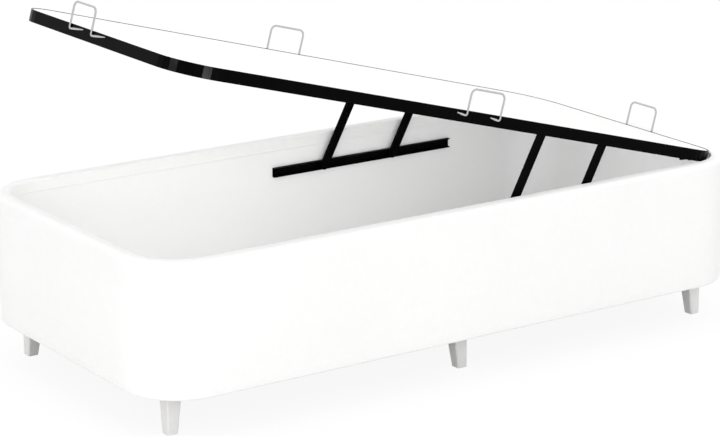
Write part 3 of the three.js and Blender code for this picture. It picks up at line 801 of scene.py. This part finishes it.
def black_paint(name, rough):
    """Satin black powder coat: nearly black, with the fine orange peel of the powder."""
    material, tree, bsdf, place, marks = marked_material(name, 16.0)
    base_colour(tree, bsdf, marks["Marks"],
                (0.0, (0.0005, 0.0005, 0.0006)), (1.0, (0.0012, 0.0012, 0.0013)))
    roughness(tree, bsdf, marks["Marks"], 0, 1, rough, rough + 0.08)
    bsdf.inputs["Specular IOR Level"].default_value = 0.03
    relief(tree, bsdf, noise_value(tree, place, 1100.0, 2.0), 0.00006, 0.5)
    return material


channel_black = black_paint("channel_powder_coat", 0.42)
dress("stay_channel_near", channel_black)
dress("stay_channel_far", channel_black)


# Channel screws: pan-headed cross screws, black like the channels, one at each end of a
# channel and three between them.

def screw_heads(name, places, outward, radius, rise, body, material, sides=20):
    """Pan heads with a cross recess, each one on a face with this outward direction."""
    mesh = bmesh.new()
    up = Vector(outward).normalized()
    side = up.orthogonal().normalized()
    across = up.cross(side)
    profile = [(1.0, -0.3), (1.0, 0.35), (0.93, 0.7), (0.75, 0.92), (0.5, 1.0)]
    draw = random.Random(7)
    for place in places:
        spin = draw.uniform(0, math.pi / 2)
        angles = [spin + step / sides * 2 * math.pi for step in range(sides)]
        outs = [side * math.cos(angle) + across * math.sin(angle) for angle in angles]
        rings = [[mesh.verts.new(place + out * radius * share + up * rise * height)
                  for out in outs] for share, height in profile]
        # the recess: two points in every five keep out, as the end of one arm of the cross
        inner = []
        for step, out in enumerate(outs):
            share = 0.5 if step % 5 in (0, 1) else 0.17
            inner.append(mesh.verts.new(place + out * radius * share * 0.96 + up * rise))
        recess = [mesh.verts.new(v.co - up * rise * 0.75) for v in inner]
        centre = mesh.verts.new(place + up * rise * 0.1)
        skin(mesh, rings + [inner, recess], smooth=False)
        for k in range(sides):
            mesh.faces.new((recess[k], recess[(k + 1) % sides], centre))
        mesh.faces.new(rings[0][::-1])
    piece = finished(name, mesh)
    piece.data.materials.append(material)
    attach(piece, body)


channel_web = 0.0025
for side_name, direction in (("near", 1), ("far", -1)):
    low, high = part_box("stay_channel_" + side_name)
    face = (low.y if direction > 0 else high.y) + direction * channel_web
    run = high.x - low.x - 2 * end_margin
    places = [Vector((low.x + end_margin + run * k / 4, face, (low.z + high.z) / 2))
              for k in range(5)]
    screw_heads("channel_screws_" + side_name, places, (0, direction, 0), 0.0045, 0.0016,
                "base", channel_black)


# Hinges: pressed steel brackets, each held to the head end by four zinc-plated screws, a
# leaf under the lid and a zinc-plated pin with a rolled head at both ends.

hinge_black = black_paint("hinge_powder_coat", 0.36)
plate_thickness = 0.003
for side_name in ("near", "far"):
    dress("hinge_bracket_" + side_name, hinge_black)
    dress("hinge_leaf_" + side_name, hinge_black)
    dress("hinge_pin_" + side_name, zinc)
    low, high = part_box("hinge_bracket_" + side_name)
    middle = (low.y + high.y) / 2
    places = [Vector((high.x - plate_thickness, middle + dy, low.z + dz))
              for dy in (-0.031, 0.031) for dz in (0.007, 0.019)]
    screw_heads("bracket_screws_" + side_name, places, (-1, 0, 0), 0.0042, 0.0016,
                "base", zinc)


# Foot rest: a plywood batten across the foot end with a ribbed rubber strip on it, which
# takes the closed lid.

dress("foot_rest", rail_ply)


def rubber_material():
    material, tree, bsdf, place, marks = marked_material("rubber_black", 30.0)
    ribs = texture(tree, "Wave", place, Scale=120)
    ribs.bands_direction = "X"
    base_colour(tree, bsdf, marks["Marks"], (0.0, (0.012,) * 3), (1.0, (0.03,) * 3))
    roughness(tree, bsdf, marks["Fine"], 0.3, 0.7, 0.7, 0.9)
    relief(tree, bsdf, ribs.outputs["Fac"], 0.0005, 0.6)
    return material


dress("rest_strip", rubber_material())


# Lid frame: a band of flat steel bent round the lid with an angle ledge inside it and four
# cross bars, welded and powder-coated black.

dress("lid_frame", black_paint("lid_powder_coat", 0.22))
bar_black = black_paint("bar_powder_coat", 0.4)
for index in range(1, 5):
    dress("lid_bar_%d" % index, bar_black)

hinge = next(joint for joint in frame["joints"] if joint["name"] == "lid_hinge")
open_turn = Matrix.Rotation(-math.radians(hinge["range_deg"][0]), 4, "Y")
lid_place = Matrix.Translation(Vector(hinge["pos_m"])) @ open_turn


def closed_box(node):
    """A lid node's lowest and highest corner about the hinge, as when the lid is shut."""
    back = lid_place.inverted()
    points = [back @ v.co for v in frame["nodes"][node].data.vertices]
    return [Vector([end(p[k] for p in points) for k in range(3)]) for end in (min, max)]


lid_low, lid_high = closed_box("lid_frame")


# Leaf screws: three zinc-plated pan heads up through each hinge leaf into the lid board,
# set as the corners of a triangle.

lid_down = lid_place.to_3x3() @ Vector((0, 0, -1))
leaf_face = closed_box("lid_board")[0].z - clearance - plate_thickness
for side_name in ("near", "far"):
    leaf_low, leaf_high = closed_box("hinge_leaf_" + side_name)
    middle = (leaf_low.y + leaf_high.y) / 2
    places = [lid_place @ Vector((leaf_low.x + dx, middle + dy, leaf_face))
              for dx, dy in ((0.008, 0), (0.022, -0.011), (0.022, 0.011))]
    screw_heads("leaf_screws_" + side_name, places, lid_down, 0.0036, 0.0014,
                "lid", zinc)


# Lid board: a sheet of birch plywood with a pale melamine face, dropped onto the ledge of
# the frame. Its cut edge shows the plies.

dress("lid_board", plywood("lid_board_faced", (1, 8, 8), 2, face=melamine_face))


# Lid cloth: white woven cloth drawn flat over the board and turned down at its edge just
# inside the band, which stands a little proud of it.

def weave_group():
    """Plain weave: the height of two crossed sets of threads, with uneven yarn."""
    group, given, out = new_group(
        "plain_weave",
        [("Run", "Vector", None), ("Threads", "Float", 1800.0), ("Slub", "Float", 0.25)],
        ["Height", "Yarn"])
    waves = []
    for direction in "XY":
        wave = texture(group, "Wave", given["Run"], Distortion=0.35, Detail=1)
        wave.bands_direction = direction
        group.links.new(given["Threads"], wave.inputs["Scale"])
        waves.append(wave.outputs["Fac"])
    yarn = noise_value(group, given["Run"], 160.0)
    crossed = maths(group, "MULTIPLY", *waves)
    slub = maths(group, "MULTIPLY", yarn, given["Slub"])
    group.links.new(maths(group, "ADD", crossed, slub), out["Height"])
    group.links.new(yarn, out["Yarn"])
    return group


plain_weave = weave_group()


def lid_weave(tree, run):
    return place_group(tree, plain_weave, run, Threads=230.0)


sheet_low, sheet_high = closed_box("lid_cover")
lid_gap = (shell_length - 2 * wall_thickness - (lid_high.x - lid_low.x)) / 2
band_gap = sheet_low.y - lid_low.y
lid_sheet_radius = outer_corner_radius - wall_thickness - lid_gap - band_gap
lid_sheet_thickness = 0.0007
turned_edge = 0.0004


def lid_cloth_mesh():
    """A thin closed sheet with turned edges over the lid's rounded plan."""
    edge = arc((turned_edge, lid_sheet_thickness - turned_edge), turned_edge, 180, 90, 4)
    flat = [(inset, lid_sheet_thickness) for inset in (0.006, 0.02, 0.045, 0.08)]
    section = [(0.0, 0.0), (0.0, lid_sheet_thickness - turned_edge)] + edge + flat
    stations, total = plan_stations(
        sheet_high.x - sheet_low.x, sheet_high.y - sheet_low.y, lid_sheet_radius, 20, 0.04)
    mesh = bmesh.new()
    layer = mesh.loops.layers.uv.new("cloth_run")
    rows = []
    for centre, outward, run in stations:
        row = []
        for inset, height in section:
            point = centre + outward * (lid_sheet_radius - inset)
            row.append(mesh.verts.new((point.x, point.y, height)))
        rows.append(row)
    for row, after in zip(rows, rows[1:] + rows[:1]):
        for k in range(len(section) - 1):
            mesh.faces.new((row[k], row[k + 1], after[k + 1], after[k])).smooth = True
    mesh.faces.new([row[-1] for row in rows]).smooth = True
    mesh.faces.new([row[0] for row in rows][::-1])
    for face in mesh.faces:
        for loop in face.loops:
            loop[layer].uv = (loop.vert.co.x, loop.vert.co.y)
    middle = (sheet_low + sheet_high) / 2
    mesh.transform(lid_place @ Matrix.Translation((middle.x, middle.y, sheet_low.z)))
    return finished("lid_cloth_sheet", mesh)


lid_cloth = lid_cloth_mesh()
lid_cloth.data.materials.append(cloth_material(
    "lid_cloth_white", (0.93, 0.93, 0.925), (0.90, 0.90, 0.895), lid_weave, 0.0003, 0.7))
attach(lid_cloth, "lid")
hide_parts("lid_cover")


# Mattress retainers: 6 mm steel rod bent into a loop for each side of the lid, with both
# ends turned along the band, hammered flat to a taper and spot-welded; bright zinc plate.

rod_radius = 0.003
loop_width = 0.115
low_loop, high_loop = 0.060, 0.070
loop_bend = 0.016
foot_bend = 0.005
foot_drop = 0.013
foot_start = foot_bend + 0.002
foot_shares = [0.15, 0.3, 0.45, 0.6, 0.75, 0.88, 0.96, 1.0]


def rounded_line(corners, bends, steps=8):
    """The corners' polyline with each inner corner rounded to its bend."""
    corners = [Vector(corner) for corner in corners]
    made = [corners[0]]
    for before, corner, after, bend in zip(corners, corners[1:], corners[2:], bends):
        start = corner + (before - corner).normalized() * bend
        end = corner + (after - corner).normalized() * bend
        centre = start + end - corner
        first, last = start - centre, end - centre
        total = first.angle(last)
        for step in range(steps + 1):
            share = step / steps
            swung = first * math.sin((1 - share) * total) + last * math.sin(share * total)
            made.append(centre + swung / math.sin(total))
    made.append(corners[-1])
    return made


def retainer(name, loop_height, tab_length, tab_rise, placing, sides=16):
    """One loop, drawn with the band's face at Y 0 and the outside towards -Y, the lid's top
    at Z 0 and the feet running to -X; placing then carries it to its side of the lid."""
    left, right = -loop_width / 2, loop_width / 2
    line = rounded_line(
        [(left - foot_start, 0, -foot_drop), (left, 0, -foot_drop), (left, 0, loop_height),
         (right, 0, loop_height), (right, 0, -foot_drop), (right - foot_start, 0, -foot_drop)],
        [foot_bend, loop_bend, loop_bend, foot_bend])
    reach = tab_length - foot_start

    def foot(x):
        """The end goes on as a foot that rises, thins and narrows to its tip."""
        return [(Vector((x - foot_start - reach * share, 0, -foot_drop + tab_rise * share * 0.83)),
                 share) for share in foot_shares]

    stations = foot(left)[::-1] + [(point, 0.0) for point in line] + foot(right)
    mesh = bmesh.new()
    rings = []
    across = Vector((0, 1, 0))
    for index, (point, share) in enumerate(stations):
        before = stations[max(index - 1, 0)][0]
        after = stations[min(index + 1, len(stations) - 1)][0]
        up = (after - before).normalized().cross(across).normalized()
        flat = min(1.0, share * 3.0)
        half_out = rod_radius * (1 - 0.5 * flat) * (1 - 0.35 * share)
        half_up = rod_radius * (1 + 0.12 * flat) * (1 - 0.62 * share ** 1.4)
        if share >= 1.0:
            half_out *= 0.6
            half_up *= 0.5
        # the round rod and the thinner foot both lie against the band
        depth = -clearance - (half_out if share > 0 else rod_radius)
        ring = []
        for step in range(sides):
            angle = step / sides * 2 * math.pi
            offset = across * math.cos(angle) * half_out + up * math.sin(angle) * half_up
            ring.append(mesh.verts.new(Vector((point.x, depth, point.z)) + offset))
        rings.append(ring)
    capped(mesh, rings)
    mesh.transform(lid_place @ placing)
    piece = finished(name, mesh)
    piece.data.materials.append(bright_rod)
    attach(piece, "lid")
    return piece


bright_rod = plated("rod_bright_plate", (0.56, 0.565, 0.575), 0.16, 50.0)
lid_middle = (lid_low.x + lid_high.x) / 2
side_tab, end_tab = (0.032, 0.005), (0.068, 0.0085)
near_loop_offset, far_loop_offset = 0.029, 0.041
foot_loop_offset, head_loop_offset = 0.070, 0.054


def at_side(x, y, degrees):
    place = Matrix.Translation((x, y, lid_high.z))
    return place @ Matrix.Rotation(math.radians(degrees), 4, "Z")


def at_end(x, y, degrees):
    mirror_y = Matrix.Diagonal((1, -1, 1, 1))
    turn = Matrix.Rotation(math.radians(degrees), 4, "Z")
    return Matrix.Translation((x, y, lid_high.z)) @ mirror_y @ turn


placings = {
    "near": (low_loop, side_tab, at_side(lid_middle + near_loop_offset, lid_low.y, 0)),
    "far": (high_loop, side_tab, at_side(lid_middle - far_loop_offset, lid_high.y, 180)),
    "foot": (low_loop, end_tab, at_end(lid_low.x, foot_loop_offset, -90)),
    "head": (high_loop, end_tab, at_end(lid_high.x, -head_loop_offset, 90)),
}
for side_name, (loop_height, tab, placing) in placings.items():
    piece = retainer("retainer_rod_" + side_name, loop_height, *tab, placing)
    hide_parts("retainer_" + side_name)


# Stays and their pins: flat steel arms, powder-coated black, that turn on shouldered pins in
# the lid's band and run along the channels on short studs.

stay_black = black_paint("stay_powder_coat", 0.3)
for end_name in ("foot", "head"):
    for side_name in ("near", "far"):
        dress("stay_%s_%s" % (end_name, side_name), stay_black)
        dress("stay_pin_%s_%s" % (end_name, side_name), stay_black)


# Studio: a plain pale floor, soft lamps and a white surround. Floor and surround show their
# own tone to the camera and in reflections, and light the object with another one.

def plain_shader(tree, kind, level, strength=None):
    node = tree.nodes.new("ShaderNode" + kind)
    node.inputs["Color"].default_value = (level, level, level, 1)
    if strength is not None:
        node.inputs["Strength"].default_value = strength
    return node.outputs[0]


def shown_and_lighting(tree, shown, lighting, output):
    """Joins the shader that rays from the view meet with the one that lights the object."""
    path = tree.nodes.new("ShaderNodeLightPath")
    seen = path.outputs["Is Camera Ray"]
    for other in ("Is Glossy Ray", "Is Transmission Ray"):
        seen = maths(tree, "MAXIMUM", seen, path.outputs[other])
    mix = tree.nodes.new("ShaderNodeMixShader")
    for socket, source in zip(mix.inputs, (seen, lighting, shown)):
        tree.links.new(source, socket)
    tree.links.new(mix.outputs[0], tree.nodes.new(output).inputs["Surface"])


def studio_floor(size, level):
    data = bpy.data.meshes.new("studio_floor")
    corners = [(-size, -size, level), (size, -size, level),
               (size, size, level), (-size, size, level)]
    data.from_pydata(corners, [], [(0, 1, 2, 3)])
    piece = bpy.data.objects.new("studio_floor", data)
    bpy.context.scene.collection.objects.link(piece)
    material = bpy.data.materials.new("studio_floor_white")
    material.use_nodes = True
    tree = material.node_tree
    tree.nodes.clear()
    shown = tree.nodes.new("ShaderNodeAddShader")
    tree.links.new(plain_shader(tree, "BsdfDiffuse", 0.08), shown.inputs[0])
    tree.links.new(plain_shader(tree, "Emission", 1, 0.92), shown.inputs[1])
    shown_and_lighting(tree, shown.outputs[0], plain_shader(tree, "BsdfDiffuse", 0.85),
                       "ShaderNodeOutputMaterial")
    data.materials.append(material)


# half a millimetre down, so that the legs' soles aren't in one plane with it
studio_floor(60, -0.0005)


def surround(ambient):
    world = bpy.data.worlds.new("surround")
    bpy.context.scene.world = world
    world.use_nodes = True
    tree = world.node_tree
    tree.nodes.clear()
    shown_and_lighting(tree, plain_shader(tree, "Background", 1, 1.0),
                       plain_shader(tree, "Background", 1, ambient), "ShaderNodeOutputWorld")


surround(0.93)


def soft_lamp(name, place, aim, size, watts, glint_on=None):
    """A soft rectangular lamp, or a card that only shows as a glint on one piece."""
    data = bpy.data.lights.new(name, "AREA")
    data.shape = "RECTANGLE"
    data.size, data.size_y = size
    data.energy = watts
    lamp = bpy.data.objects.new(name, data)
    bpy.context.scene.collection.objects.link(lamp)
    lamp.location = place
    lamp.rotation_euler = (Vector(aim) - Vector(place)).to_track_quat("-Z", "Y").to_euler()
    lamp.visible_camera = False
    lamp.visible_glossy = glint_on is not None
    lamp.visible_diffuse = glint_on is None
    if glint_on is not None:
        lit = bpy.data.collections.new(name + "_lights")
        lit.objects.link(glint_on)
        lamp.light_linking.receiver_collection = lit


soft_lamp("lamp_front_low", (0.5, -7.0, 1.6), (0, 0, 0.3), (5, 2.5), 20)
soft_lamp("lamp_front_high", (-0.5, -5.5, 4.5), (0, 0, 0.4), (4, 3), 20)
soft_lamp("lamp_foot", (-7.5, 0.0, 1.6), (0, 0, 0.4), (4, 2), 12)
soft_lamp("lamp_corner", (-5.5, -4.5, 1.8), (0, 0, 0.4), (3, 2), 58)
soft_lamp("lamp_top", (0, 0, 5.5), (0, 0, 0), (5, 4), 62)
# two dim strips behind the near wall lift the inside of the box
soft_lamp("lamp_box_foot", (-0.56, -0.44, 0.29), (-0.56, 0.5, 0.29), (0.9, 0.16), 1.9)
soft_lamp("lamp_box_head", (0.42, -0.44, 0.30), (0.42, 0.5, 0.30), (0.9, 0.16), 1.05)
# cards whose reflections pick out the near corner of the black band
band = frame["nodes"]["lid_frame"]
soft_lamp("card_front", (-0.91, -4.42, 0.65), (-0.79, -0.44, 0.94), (0.6, 0.6), 90, band)
soft_lamp("card_left", (-5.77, -0.27, 1.91), (-0.86, -0.38, 0.96), (0.8, 0.8), 46, band)

# camera: fitted to the photo's edges and corners, tilted down and turned to the left
view_data = bpy.data.cameras.new("view")
view_data.sensor_width = 36
view_data.lens = 132.96
view_data.clip_end = 200
camera = bpy.data.objects.new("view", view_data)
bpy.context.scene.collection.objects.link(camera)
camera_tilt, camera_turn = 0.2784, 0.6032
camera.location = (-4.1417, -5.9655, 2.4186)
camera.rotation_euler = (math.radians(90) - camera_tilt, 0, -camera_turn)
bpy.context.scene.camera = camera
bpy.context.scene.view_settings.view_transform = "Standard"
